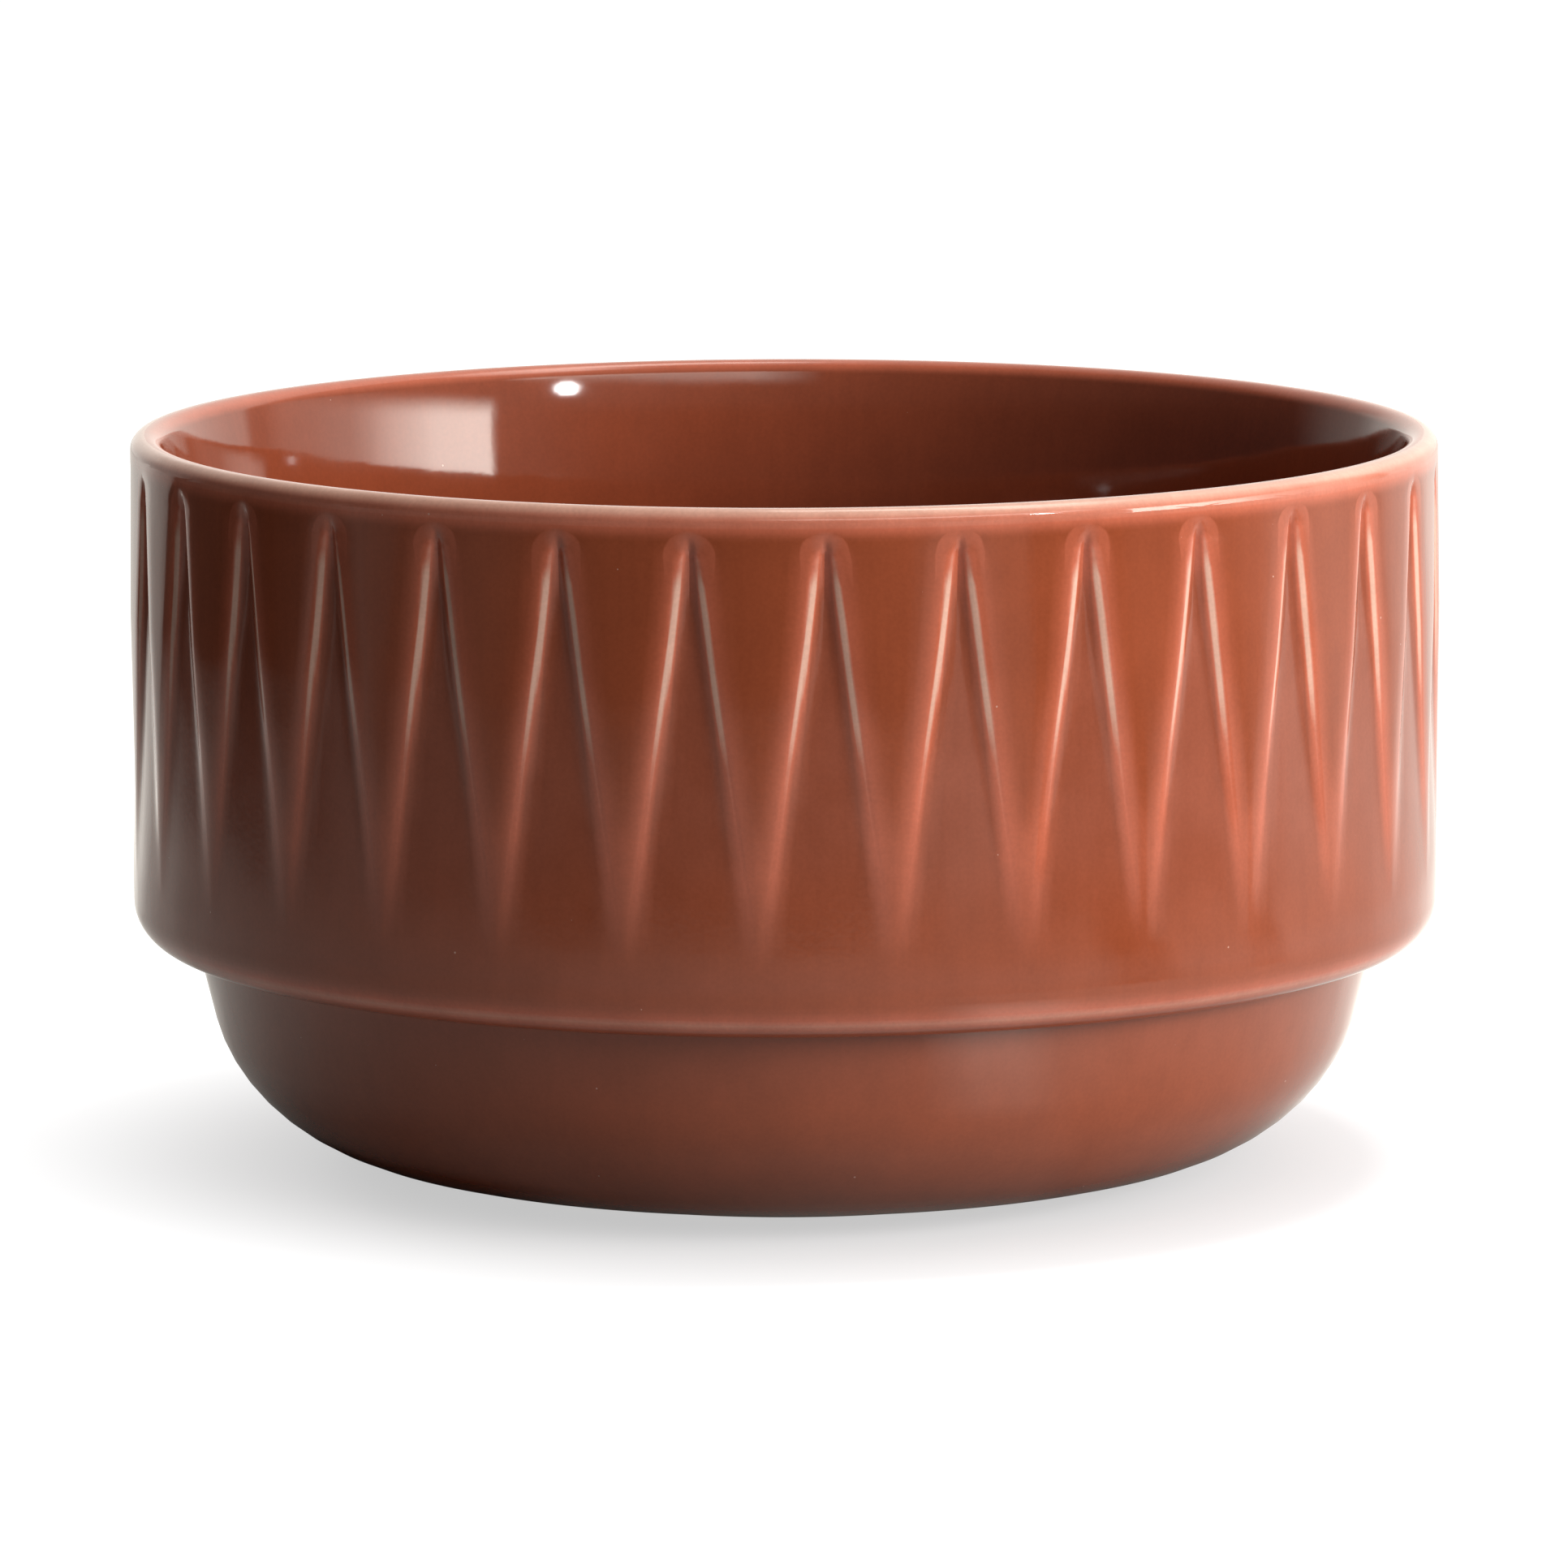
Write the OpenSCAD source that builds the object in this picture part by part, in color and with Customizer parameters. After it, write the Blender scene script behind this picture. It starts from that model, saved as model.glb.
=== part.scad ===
// Stacking bowl in glazed stoneware: a straight fluted band over a narrower
// rounded basin, standing on a bare foot ring.
// Millimetres, +Z up. The origin is the centre of the foot ring's contact circle.

/* [Bowl] */
// Widest diameter of the glazed band
bowl_d = 140; // [130:1:156]
// Height from the table to the crest of the rim
bowl_h = 78.5; // [74:0.5:92]
// Thickness of each coat of glaze
glaze_t = 0.4; // [0.25:0.05:0.5]

/* [Rim] */
// How much smaller in radius the band is at the rim than at its widest
rim_tuck = 0.4; // [0:0.1:0.8]
// Radius of the rim's outer rounding
rim_out_r = 1.5; // [1.2:0.1:1.8]
// Radius of the rim's inner rounding
rim_in_r = 1.9; // [1.6:0.1:2.2]

/* [Band] */
// Height of the band's widest circle
widest_h = 60; // [54:1:66]
// How much smaller in radius the band is at its lower edge than at its widest
band_tuck = 0.25; // [0:0.05:0.8]
// Height of the step's underside above the table
step_h = 24.4; // [20:0.2:27]
// Radius of the rounding round the band's lower edge
step_edge_r = 3.3; // [2.4:0.1:4]
// Radius of the small hollow where the step meets the basin
step_root_r = 0.7; // [0.5:0.1:1]
// Wall thickness at the foot of the band
band_wall = 6.8; // [6.2:0.1:7.2]

/* [Darts] */
// Number of darts pressed into the band
dart_count = 32; // [24:2:34]
// Angle from the front of the bowl to the nearest dart
dart_turn = 3.4; // [0:0.2:11]
// Height of the line where the darts run out
dart_foot_h = 32.4; // [31:0.2:38]
// Height of the centre of each dart's round tip
dart_tip_h = 75; // [70:0.2:75.4]
// Radius of each dart's round tip
dart_tip_r = 0.6; // [0.5:0.05:0.9]
// Depth of each dart at its tip
dart_depth = 1.2; // [0.6:0.1:1.6]
// Width of the land between two darts at their foot line
dart_land = 1.4; // [1.2:0.1:2.4]

/* [Basin] */
// How far the top of the basin stands in from the foot of the band
basin_inset = 6.5; // [5.5:0.1:7.5]
// Angle of the basin's side off the vertical
basin_draft = 14; // [10:1:16]
// Radius of the basin's lower outside curve
basin_round_r = 18.8; // [16:0.2:20]
// Wall thickness of the basin
basin_wall = 4.6; // [4.2:0.1:5.4]
// Angle at which the underside climbs away from the foot ring
underside_climb = 3; // [2:0.5:5]
// Thickness of the floor, glaze included
floor_t = 5; // [4.4:0.1:6]

/* [Inside] */
// Depth below the rim at which the inside wall starts to flare
flare_drop = 16; // [14:0.5:20]
// Wall thickness where the flare starts
flare_wall = 6; // [5.7:0.1:6.3]
// Radius of the soft bend where the flare starts
flare_r = 100; // [60:5:110]
// Height at which the inside wall turns in towards the basin
ledge_top_h = 34; // [31:0.5:36]
// Angle of the inside ledge below the horizontal
ledge_slope = 52; // [47:1:56]
// Radius of the hollow at the top of the inside ledge
ledge_top_r = 6; // [4:0.5:7]
// Radius of the swelling at the bottom of the inside ledge
ledge_foot_r = 5; // [3:0.5:6]

/* [Foot ring] */
// Outside diameter of the foot ring
foot_d = 73; // [66:1:78]
// Width of the foot ring
foot_w = 4.5; // [3.5:0.1:5.5]
// Height of the foot ring's outer side
foot_h = 1.4; // [1.2:0.1:2.4]
// Radius of the foot ring's wiped edges
foot_edge_r = 0.6; // [0.3:0.1:0.7]
// Height of the recess inside the foot ring
recess_h = 1.6; // [1.3:0.1:2.4]

/* [Hidden] */
$fn = 192;
// Widest step along a rounding, in degrees
arc_step = 6;
// How far cutting shapes run past what they cut
overrun = 2;

// Radii and heights that follow from the sizes above
widest_r = bowl_d / 2;
rim_r = widest_r - rim_tuck;
crest_r = rim_r - rim_out_r;
band_foot_r = widest_r - band_tuck;
inner_rim_r = crest_r - rim_in_r;
inner_band_r = band_foot_r - band_wall;
basin_top_r = band_foot_r - basin_inset;
foot_r = foot_d / 2;
foot_inner_r = foot_r - foot_w;
floor_h = recess_h + floor_t;

// Directions used in the section, travelling inwards and down
basin_dir = [-sin(basin_draft), -cos(basin_draft)];
underside_dir = [-cos(underside_climb), -sin(underside_climb)];
ledge_dir = [-cos(ledge_slope), -sin(ledge_slope)];
floor_dir = [-1, 0];

// Small helpers for drawing sections as paths of rounded corners
function unit(v) = v / norm(v);
function side_of(v) = [v.y, -v.x];
function cross_z(a, b) = a.x * b.y - a.y * b.x;
function reversed(path) = [for (i = [len(path) - 1:-1:0]) path[i]];

// Where the line through p along u meets the line through q along v
function crossing(p, u, q, v) = p + u * cross_z(q - p, v) / cross_z(u, v);

// The corner p between its neighbours a and b, rounded to the radius r
function rounding(a, p, b, r) =
    let (
        u = unit(a - p),
        v = unit(b - p),
        half = acos(u * v) / 2,
        centre = p + unit(u + v) * r / sin(half),
        from = p + u * r / tan(half) - centre,
        turn = sign(cross_z(-u, v)) * (180 - 2 * half),
        steps = max(2, ceil(abs(turn) / arc_step))
    )
    [
        for (i = [0:steps])
            let (swung = turn * i / steps)
            centre + [
                from.x * cos(swung) - from.y * sin(swung),
                from.x * sin(swung) + from.y * cos(swung)
            ]
    ];

// A path from corners written as [radius, height, rounding]
function rounded_path(corners) = [
    for (i = [0:len(corners) - 1])
        let (
            c = corners[i],
            p = [c.x, c.y],
            inside = i > 0 && i < len(corners) - 1 && c[2] > 0
        )
        each inside
            ? rounding([corners[i - 1].x, corners[i - 1].y], p, [corners[i + 1].x, corners[i + 1].y], c[2])
            : [p]
];

// Equal points closer together than this share of the bowl are one point
merge_share = 0.00001;
function cleaned(path) = [
    for (i = [0:len(path) - 1])
        if (i == 0 || norm(path[i] - path[i - 1]) > merge_share * bowl_d)
            path[i]
];

// The path moved by t towards its side_of side, with mitred joints
function beside(path, t) = [
    for (i = [0:len(path) - 1])
        let (
            before = side_of(unit(path[max(i, 1)] - path[max(i, 1) - 1])),
            after = side_of(unit(path[min(i, len(path) - 2) + 1] - path[min(i, len(path) - 2)])),
            middle = unit(before + after)
        )
        path[i] + middle * t / (middle * after)
];

// Finished outer surface, from the crest of the rim down to the foot ring
foot_join = [foot_r, foot_h];
basin_top = [basin_top_r, step_h];
basin_corner = crossing(basin_top, basin_dir, foot_join, underside_dir);
outer_path = cleaned(rounded_path([
    [crest_r, bowl_h, 0],
    [rim_r, bowl_h, rim_out_r],
    [widest_r, widest_h, 0],
    [band_foot_r, step_h, step_edge_r],
    [basin_top_r, step_h, step_root_r],
    [basin_corner.x, basin_corner.y, basin_round_r],
    [foot_join.x, foot_join.y, 0]
]));

// Finished inner surface, from the crest of the rim down to the middle of the floor
inner_round_r = basin_round_r - basin_wall;
basin_inner_top = basin_top - basin_wall * [cos(basin_draft), -sin(basin_draft)];
flare_start = [widest_r - flare_wall, bowl_h - flare_drop];
ledge_top = [inner_band_r, ledge_top_h];
ledge_foot = crossing(ledge_top, ledge_dir, basin_inner_top, basin_dir);
floor_corner = crossing(ledge_foot, basin_dir, [0, floor_h], floor_dir);
inner_path = cleaned(rounded_path([
    [crest_r, bowl_h, 0],
    [inner_rim_r, bowl_h, rim_in_r],
    [flare_start.x, flare_start.y, flare_r],
    [ledge_top.x, ledge_top.y, ledge_top_r],
    [ledge_foot.x, ledge_foot.y, ledge_foot_r],
    [floor_corner.x, floor_corner.y, inner_round_r],
    [0, floor_h, 0]
]));

// The clay's surface under each coat. The outer coat's edge butts on the side of the foot ring.
clay_outer_full = beside(outer_path, glaze_t);
clay_foot_join = [foot_r, foot_h + glaze_t / cos(underside_climb)];
clay_outer = [for (i = [0:len(clay_outer_full) - 2]) clay_outer_full[i], clay_foot_join];
clay_inner = beside(inner_path, -glaze_t);

// The bare foot ring and the clay above the recess
foot_path = rounded_path([
    clay_foot_join,
    [foot_r, 0, foot_edge_r],
    [foot_inner_r, 0, foot_edge_r],
    [foot_inner_r, recess_h + glaze_t, 0],
    [0, recess_h + glaze_t, 0]
]);

// Size of a dart at its foot line, and the radius of the finished band there
dart_pitch = 2 * widest_r * sin(180 / dart_count);
dart_half_w = (dart_pitch - dart_land) / 2;
band_slope = (widest_r - band_foot_r) / (widest_h - step_h);
dart_foot_r = band_foot_r + (dart_foot_h - step_h) * band_slope;
dart_slope = (dart_foot_r - widest_r + dart_depth) / (dart_tip_h - dart_foot_h);

// The darts' floor is a cone that leaves the band at the foot line and sinks in towards the rim
module dart_floor(coat) {
    low = dart_foot_h - 2 * overrun;
    high = dart_tip_h + 2 * overrun;
    translate([0, 0, low])
        cylinder(
            h = high - low,
            r1 = dart_foot_r - coat + dart_slope * (dart_foot_h - low),
            r2 = dart_foot_r - coat - dart_slope * (high - dart_foot_h)
        );
}

// One dart seen square to the band: a tall wedge with a round tip
module dart_outline(coat) {
    translate([0, dart_tip_h])
        circle(r = dart_tip_r + coat);
    polygon([
        [-dart_half_w - coat, dart_foot_h - overrun],
        [dart_half_w + coat, dart_foot_h - overrun],
        [dart_half_w + coat, dart_foot_h],
        [dart_tip_r + coat, dart_tip_h],
        [-dart_tip_r - coat, dart_tip_h],
        [-dart_half_w - coat, dart_foot_h]
    ]);
}

// What is pressed out of the band, for the finished surface or, one coat wider and deeper, for the clay
module darts(coat) {
    difference() {
        for (i = [0:dart_count - 1])
            rotate([0, 0, dart_turn + 360 / dart_count * i])
                translate([0, -widest_r * cos(180 / dart_count) + overrun, 0])
                    rotate([90, 0, 0])
                        linear_extrude(height = 2 * overrun)
                            dart_outline(coat);
        dart_floor(coat);
    }
}

// Fired clay: wall, floor and the bare foot ring
module stoneware_body() {
    color("burlywood")
        difference() {
            rotate_extrude()
                polygon(cleaned(concat(clay_outer, foot_path, reversed(clay_inner))));
            darts(glaze_t);
        }
}

// Coat on the outside, from the crest of the rim to the side of the foot ring
module outer_glaze() {
    color([0.58, 0.24, 0.15])
        difference() {
            rotate_extrude()
                polygon(concat(outer_path, [[foot_r, step_h]]));
            darts(0);
            difference() {
                rotate_extrude()
                    polygon(concat(clay_outer, [
                        [foot_r, -overrun],
                        [0, -overrun],
                        [0, bowl_h + overrun],
                        [crest_r, bowl_h + overrun]
                    ]));
                darts(glaze_t);
            }
        }
}

// Coat on the inside, from the crest of the rim to the middle of the floor
module inner_glaze() {
    color([0.46, 0.16, 0.10])
        rotate_extrude()
            polygon(concat(inner_path, reversed(clay_inner)));
}

// Thin round coat in the recess inside the foot ring
module base_glaze() {
    color([0.54, 0.22, 0.14])
        translate([0, 0, recess_h])
            cylinder(h = glaze_t, r = foot_inner_r);
}

stoneware_body();
outer_glaze();
inner_glaze();
base_glaze();
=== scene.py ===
# Glazed terracotta stacking bowl on a pale studio floor.
# Sections are drawn in millimetres, as in the part's source, and each mesh is brought to metres.
import math

import bmesh
import bpy
import numpy as np
from mathutils import Matrix, Vector


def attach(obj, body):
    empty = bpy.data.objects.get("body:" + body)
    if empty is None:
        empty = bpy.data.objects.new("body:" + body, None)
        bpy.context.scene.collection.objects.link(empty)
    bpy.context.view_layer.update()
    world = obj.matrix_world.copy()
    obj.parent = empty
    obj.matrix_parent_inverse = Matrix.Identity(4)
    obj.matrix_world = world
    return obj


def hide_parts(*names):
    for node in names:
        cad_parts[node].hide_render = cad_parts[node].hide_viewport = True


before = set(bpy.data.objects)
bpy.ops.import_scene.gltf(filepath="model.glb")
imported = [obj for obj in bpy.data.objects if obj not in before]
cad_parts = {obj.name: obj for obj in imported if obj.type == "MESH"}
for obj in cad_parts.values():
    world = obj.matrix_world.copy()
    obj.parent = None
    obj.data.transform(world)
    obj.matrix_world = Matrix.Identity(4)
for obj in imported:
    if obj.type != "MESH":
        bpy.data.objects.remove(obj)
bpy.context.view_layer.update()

MM = 0.001
UP = Vector((0, 0, 1))

# Sizes shared with the part's source, in millimetres
BOWL_H = 78.5
CREST_R = 68.1
WIDEST_R, WIDEST_H = 69.93, 60
BAND_TOP_R = 69.6
BAND_FOOT_R = 69.75
STEP_H = 24.4
BASIN_TOP_R = 63.25
BASIN_CORNER = (57.79, 2.52)
FOOT_R, FOOT_INNER_R = 36.5, 32
FOOT_JOIN_H = 1.4
RECESS_H = 1.6
FLOOR_H = 6.6
COAT = 0.4

# Roundings of the corners outside
RIM_ROUNDING = 1.5
BAND_FOOT_ROUNDING = 4.3
STEP_ROUNDING = 0.7
BASIN_ROUNDING = 18.8
FOOT_ROUNDING = 0.6
LEAST_ROUNDING = 0.05

# Darts: tall wedges with a round tip, pressed into the band
DART_COUNT = 32
DART_TURN = math.radians(3.4)
DART_PITCH = math.tau / DART_COUNT
DART_TIP_H, DART_TIP_R = 75, 0.58
DART_FOOT_H = 32.4
DART_SPREAD = 0.15
DART_DEPTH = 1.05
DART_DEEPEST_H = 73.4
DART_WALL_START, DART_WALL_W = -0.35, 1.8
HALF_PITCH = math.pi * WIDEST_R / DART_COUNT
WIDEST_DART = 0.955 * HALF_PITCH

# Where the mesh follows the darts: from below their foot line to over their tips, outside a radius
PRESSED_FROM_H, PRESSED_TO_H = DART_FOOT_H - 4, DART_TIP_H + 2.2
PRESSED_FROM_R = BASIN_TOP_R + 3.5

# Rounded shoulder beside a dart, and the shallow dish round its tip
SHOULDER_FALL, SHOULDER_W, SHOULDER_FADE_H = 0.2, 2.7, 18
DISH_H, DISH_W, DISH_RISE = 73.6, 3.0, 2.85
DISH_DEPTH = 1.25

# Rows, columns and arcs of the meshes: rows in millimetres, arcs in degrees
TIP_ROW, SIDE_ROW, FOOT_ROW = 0.36, 2.6, 1.2
COLUMNS_PER_DART = 24
COLUMNS = DART_COUNT * COLUMNS_PER_DART
INNER_COLUMNS, BASE_COLUMNS = 384, 256
OUTER_ARC, INNER_ARC, BASE_ARC, CLAY_ARC, HIDDEN_ARC = 7.5, 5, 6, 10, 20
SHARP_OVER = math.radians(40)
ANGLE_TOLERANCE = 1e-4
MERGE_DISTANCE = 1e-4
ON_AXIS = 1e-6

# Thin and pooled glaze, with painted highlights, reflection and shade among them: widths in
# millimetres, strengths from 0 to 1
RIDGE_LINE, CORE_INNER_W, CORE_OUTER_W = 0.25, 0.16, 0.62
GLOW_W, GLOW_FOOT_W, GLOW_FALL = 2.7, 1.6, 1.6
GLOW, GLOW_AT_FOOT, NARROW_GLOW = 0.66, 0.78, 0.42
# The crest's share is thin glaze with painted light from above on the rim's top.
RIM_THIN, CREST_THIN_AND_LIT, LIP_THIN_AND_HIGHLIGHT = 0.62, 0.25, 0.7
DART_POOL_AND_REFLECTION, FOOT_LINE_POOL = 0.8, 0.3
# The lip band is thin glaze with a painted highlight on the step's rounding.
LIP_H, LIP_W = STEP_H + 1.7, 1.1
FOOT_LINE_H, FOOT_LINE_W = DART_FOOT_H - 1.9, 1.2
CREASE_W = 0.8
LEDGE_R, LEDGE_H, LEDGE_W = 62.9, 34.2, 1.6
# The ledge and corner strengths darken the inside with painted shade as well as pooled glaze.
INNER_CREST_THIN, LEDGE_POOL_AND_SHADE, CORNER_POOL_AND_SHADE = 0.5, 0.3, 0.5

# Camera of the photograph
CAMERA_AT = Vector((-0.00008, -1.0366, 0.1999))
CAMERA_PITCH = math.radians(8.76)
CAMERA_ROLL = math.radians(-0.12)
CAMERA_LENS = 224.5
SENSOR_W = 36
CLIP_NEAR, CLIP_FAR = 0.05, 20


def smooth_step(low, high, value):
    """0 below low, 1 above high, and a soft S between them; also for high below low."""
    t = np.clip((value - low) / (high - low), 0, 1)
    return t * t * (3 - 2 * t)


def foot_step(low, high, height):
    """smooth_step between two heights above the darts' foot line."""
    return smooth_step(DART_FOOT_H + low, DART_FOOT_H + high, height)


def tip_step(low, high, height):
    """smooth_step between two heights above the centre of the darts' tips."""
    return smooth_step(DART_TIP_H + low, DART_TIP_H + high, height)


def dish_step(low, high, height):
    """smooth_step between two heights above the middle of the dishes."""
    return smooth_step(DISH_H + low, DISH_H + high, height)


def rim_step(low, high, height):
    """smooth_step between two heights above the crest of the rim."""
    return smooth_step(BOWL_H + low, BOWL_H + high, height)


# Sections and turned shells

def section(bm, corners, arc, hidden_from=None):
    """Wire through corners (radius, height, rounding), each corner rounded by a vertex bevel.

    A rounding has one segment per arc degrees. Corners from hidden_from on lie out of sight and
    are coarser."""
    verts = [bm.verts.new((r, 0, h)) for r, h, _ in corners]
    for a, b in zip(verts, verts[1:]):
        bm.edges.new((a, b))
    bends = []
    for i, (before, here, after) in enumerate(zip(verts, verts[1:], verts[2:]), 1):
        bend = (here.co - before.co).angle(after.co - here.co)
        step = HIDDEN_ARC if hidden_from is not None and i >= hidden_from else arc
        bends.append((here, corners[i][2], bend, step))
    for here, rounding, bend, step in bends:
        if rounding and bend > ANGLE_TOLERANCE:
            bmesh.ops.bevel(
                bm, geom=[here], offset=rounding * math.tan(bend / 2), offset_type="OFFSET",
                segments=max(2, math.ceil(math.degrees(bend) / step)), profile=0.5,
                affect="VERTICES", clamp_overlap=False, material=-1,
            )


def beside(corners, offset):
    """The same corners moved to the left of the way they run, with their roundings concentric."""
    flat = [Vector((r, h)) for r, h, _ in corners]
    moved = []
    for i, here in enumerate(flat):
        before = flat[max(i, 1)] - flat[max(i, 1) - 1]
        after = flat[min(i, len(flat) - 2) + 1] - flat[min(i, len(flat) - 2)]
        side_before = Vector((-before.y, before.x)).normalized()
        side_after = Vector((-after.y, after.x)).normalized()
        middle = (side_before + side_after).normalized()
        shifted = here + middle * (offset / middle.dot(side_after))
        turning = before.x * after.y - before.y * after.x
        rounding = corners[i][2]
        if rounding:
            rounding = max(LEAST_ROUNDING, rounding - math.copysign(offset, turning))
        moved.append((shifted.x, shifted.y, rounding))
    return moved


def turned(bm, steps):
    """Spins the wire in bm through one sector, doubles it to a full turn and closes its seams."""
    span = DART_PITCH
    bmesh.ops.spin(
        bm, geom=bm.verts[:] + bm.edges[:], cent=(0, 0, 0), axis=(0, 0, 1), angle=span,
        steps=steps // DART_COUNT, use_merge=False, use_duplicate=False,
    )
    while span < math.tau - ANGLE_TOLERANCE:
        everything = bm.verts[:] + bm.edges[:] + bm.faces[:]
        copied = bmesh.ops.duplicate(bm, geom=everything)["geom"]
        copied_verts = [v for v in copied if isinstance(v, bmesh.types.BMVert)]
        turn = Matrix.Rotation(span, 3, "Z")
        bmesh.ops.rotate(bm, cent=(0, 0, 0), matrix=turn, verts=copied_verts)
        span *= 2
    bmesh.ops.remove_doubles(bm, verts=bm.verts, dist=MERGE_DISTANCE)
    bmesh.ops.recalc_face_normals(bm, faces=bm.faces)


def new_object(name, bm):
    """An object in the scene with bm as its mesh."""
    mesh = bpy.data.meshes.new(name)
    bm.to_mesh(mesh)
    bm.free()
    obj = bpy.data.objects.new(name, mesh)
    bpy.context.scene.collection.objects.link(obj)
    return obj


def piece(bm, name):
    """Brings bm to metres and makes it a smooth-shaded object that rides on the bowl's body."""
    bmesh.ops.scale(bm, vec=(MM, MM, MM), verts=bm.verts)
    bm.normal_update()
    for face in bm.faces:
        face.smooth = True
    for edge in bm.edges:
        if len(edge.link_faces) == 2 and edge.calc_face_angle(0) > SHARP_OVER:
            edge.smooth = False
    obj = new_object(name, bm)
    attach(obj, "root")
    return obj


def store(obj, name, values):
    """Keeps one number per vertex for the materials."""
    attribute = obj.data.attributes.new(name, "FLOAT", "POINT")
    attribute.data.foreach_set("value", np.asarray(values, np.float32))


def places(verts):
    """Radius, height and angle from the front, towards +X, of each vertex."""
    co = np.array([v.co for v in verts])
    return np.hypot(co[:, 0], co[:, 1]), co[:, 2], np.arctan2(co[:, 0], -co[:, 1])


# The band's darts

def nearest_dart(angle):
    """Number of the nearest dart, and the way from its middle as a share of half a pitch."""
    turn = (angle - DART_TURN) / DART_PITCH
    nearest = np.round(turn)
    return nearest, (turn - nearest) * 2


def dart_half_width(height):
    """Half the width of a dart at a height, up to the centre of its round tip."""
    reach = DART_TIP_R * math.hypot(1, DART_SPREAD)
    return np.clip(reach + DART_SPREAD * (DART_TIP_H - height), reach, WIDEST_DART)


def dart_edge(across, height, coat=0.0):
    """Distance into a dart from its edge line, negative outside it."""
    lean = math.hypot(1, DART_SPREAD)
    above = height - DART_TIP_H
    side = (DART_TIP_R * lean - DART_SPREAD * above - np.abs(across)) / lean
    tip = DART_TIP_R - np.hypot(across, above)
    return np.where(above > DART_SPREAD * np.abs(across), tip, side) + coat


def dart_depth(height):
    """Depth of the darts' floor: nothing at the foot line, most just under the tips."""
    slope = np.clip((height - DART_FOOT_H) / (DART_DEEPEST_H - DART_FOOT_H), 0, 1)
    return DART_DEPTH * slope * smooth_step(DART_TIP_H + 1.5, DART_DEEPEST_H, height)


def tip_dish(across, height):
    """1 in the middle of the shallow dish round a dart's tip, 0 at its rim and outside."""
    return np.clip(1 - np.hypot(across / DISH_W, (height - DISH_H) / DISH_RISE), 0, 1)


def relief(across, height, coat):
    """How far the band's surface is pressed in at a place on it."""
    inside = dart_edge(across, height, coat)
    wall = smooth_step(DART_WALL_START, DART_WALL_W, inside)
    shoulder = np.clip(1 + inside / SHOULDER_W, 0, 1) ** 2 * dish_step(2.2, -1, height)
    dish = DISH_DEPTH * tip_dish(across, height) * dish_step(-2.5, 0.5, height)
    fade = foot_step(0, SHOULDER_FADE_H, height)
    return dart_depth(height) * wall + SHOULDER_FALL * fade * np.maximum(shoulder, dish)


def press_darts(bm):
    """Draws the columns of the turned band along the darts' edges and presses the darts in."""
    verts = [v for v in bm.verts
             if PRESSED_FROM_H < v.co.z < PRESSED_TO_H and v.co.xy.length > PRESSED_FROM_R]
    radius, height, angle = places(verts)
    nearest, share = nearest_dart(angle)
    coat = np.where(radius < BAND_TOP_R - COAT / 2, COAT, 0.0)
    half = dart_half_width(height) + coat * 0.5
    inner = half * (1 - (1 - np.clip(np.abs(share) / 0.5, 0, 1)) ** 2)
    outer = half + (HALF_PITCH - half) * np.clip(np.abs(share) / 0.5 - 1, 0, 1) ** 2
    across = np.where(np.abs(share) < 0.5, inner, outer) * np.sign(share)
    even = foot_step(0.6, -3.4, height)
    across = across + (share * HALF_PITCH - across) * even
    new_radius = radius - relief(across, height, coat)
    new_angle = DART_TURN + nearest * DART_PITCH + across / HALF_PITCH * DART_PITCH / 2
    for v, r, a in zip(verts, new_radius, new_angle):
        v.co.x, v.co.y = r * math.sin(a), -r * math.cos(a)


def ridge_masks(across, height):
    """Thin glaze on the darts' edges: a soft glow beside the edge and a narrow core on it, whose
    pale colour is partly a painted highlight.
    """
    off = dart_edge(across, height) - RIDGE_LINE * tip_step(-1, -14, height)
    spread = foot_step(18, 3, height)
    field_side = np.clip(1 + off / (GLOW_W + GLOW_FOOT_W * spread), 0, 1) ** GLOW_FALL
    dart_side = 1 - smooth_step(0.05, 0.85 + spread, off)
    glow = GLOW * np.where(off < 0, field_side, dart_side)
    narrow = smooth_step(2.5, 1.3, HALF_PITCH - dart_half_width(height))
    glow = np.maximum(glow, NARROW_GLOW * narrow * smooth_step(0.9, 0.0, off))
    glow = glow * foot_step(-1.5, 13, height)
    glow = glow * (GLOW_AT_FOOT + (1 - GLOW_AT_FOOT) * foot_step(8, 24, height))
    # The narrow core is thin glaze with a painted highlight along the ridge.
    core = 1 - smooth_step(CORE_INNER_W, CORE_OUTER_W, np.abs(off))
    core = core * foot_step(6, 30, height) * (0.5 + 0.5 * tip_step(-1, -5, height))
    return np.maximum(glow, core) * tip_step(0.6, -1.6, height)


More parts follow.
